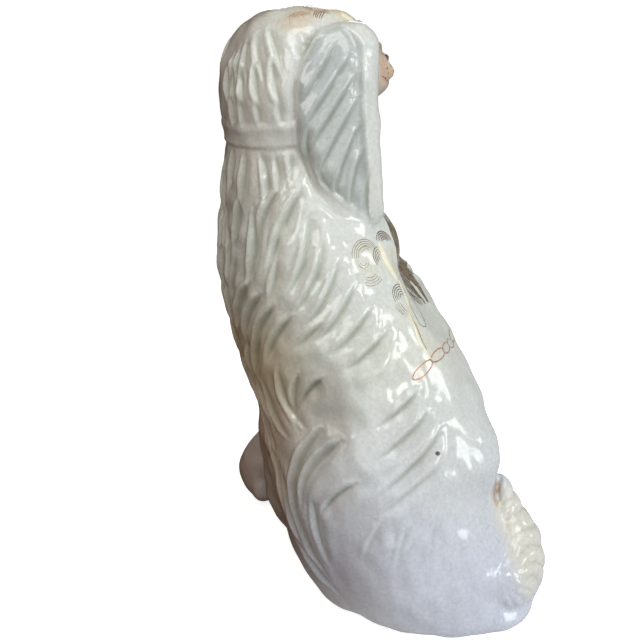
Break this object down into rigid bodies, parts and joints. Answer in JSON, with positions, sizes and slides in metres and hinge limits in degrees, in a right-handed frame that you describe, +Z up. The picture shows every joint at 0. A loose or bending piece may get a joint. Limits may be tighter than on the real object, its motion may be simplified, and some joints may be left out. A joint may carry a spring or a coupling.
{
  "type": "seated spaniel figurine",
  "caption": "Hollow press-moulded pottery spaniel that sits upright with its head turned to the side, with long ears, a collar and a curled tail; a mantel ornament on a flat foot.",
  "frame": {"origin": "on the floor, at the centre of the outline seen from above", "axes": "+Z up; +X the way the dog's chest points; -Y the display side that the face looks to; +Y the plain back side that stands against the wall"},
  "size_m": [0.2338, 0.1435, 0.32],
  "materials": {
    "glazed_white_ware": "cool white pearlware body under a clear glossy glaze with a fine craze and small specks; touches of bronze lustre and yellow enamel",
    "collar_band": "the same glossy glaze over a flat band, with a worn copper lustre line on the display side",
    "gilt_locket": "glossy copper lustre over glaze",
    "underside_slab": "thin glaze wiped off a buff clay, matt and a little dusty",
    "bare_clay": "unglazed biscuit clay, inside the hollow"
  },
  "bodies": {
    "root": {"back_body_shell": "glazed_white_ware", "front_body_shell": "glazed_white_ware", "back_head_shell": "glazed_white_ware", "face_shell": "glazed_white_ware", "muzzle": "glazed_white_ware", "right_ear": "glazed_white_ware", "left_ear": "glazed_white_ware", "collar": "collar_band", "locket": "gilt_locket", "left_foreleg": "glazed_white_ware", "right_foreleg": "glazed_white_ware", "hind_paw": "glazed_white_ware", "tail": "glazed_white_ware", "base_slab": "underside_slab", "back_seam_roll": "bare_clay", "chest_seam_roll": "bare_clay", "head_seam_roll": "bare_clay"}
  },
  "joints": []
}
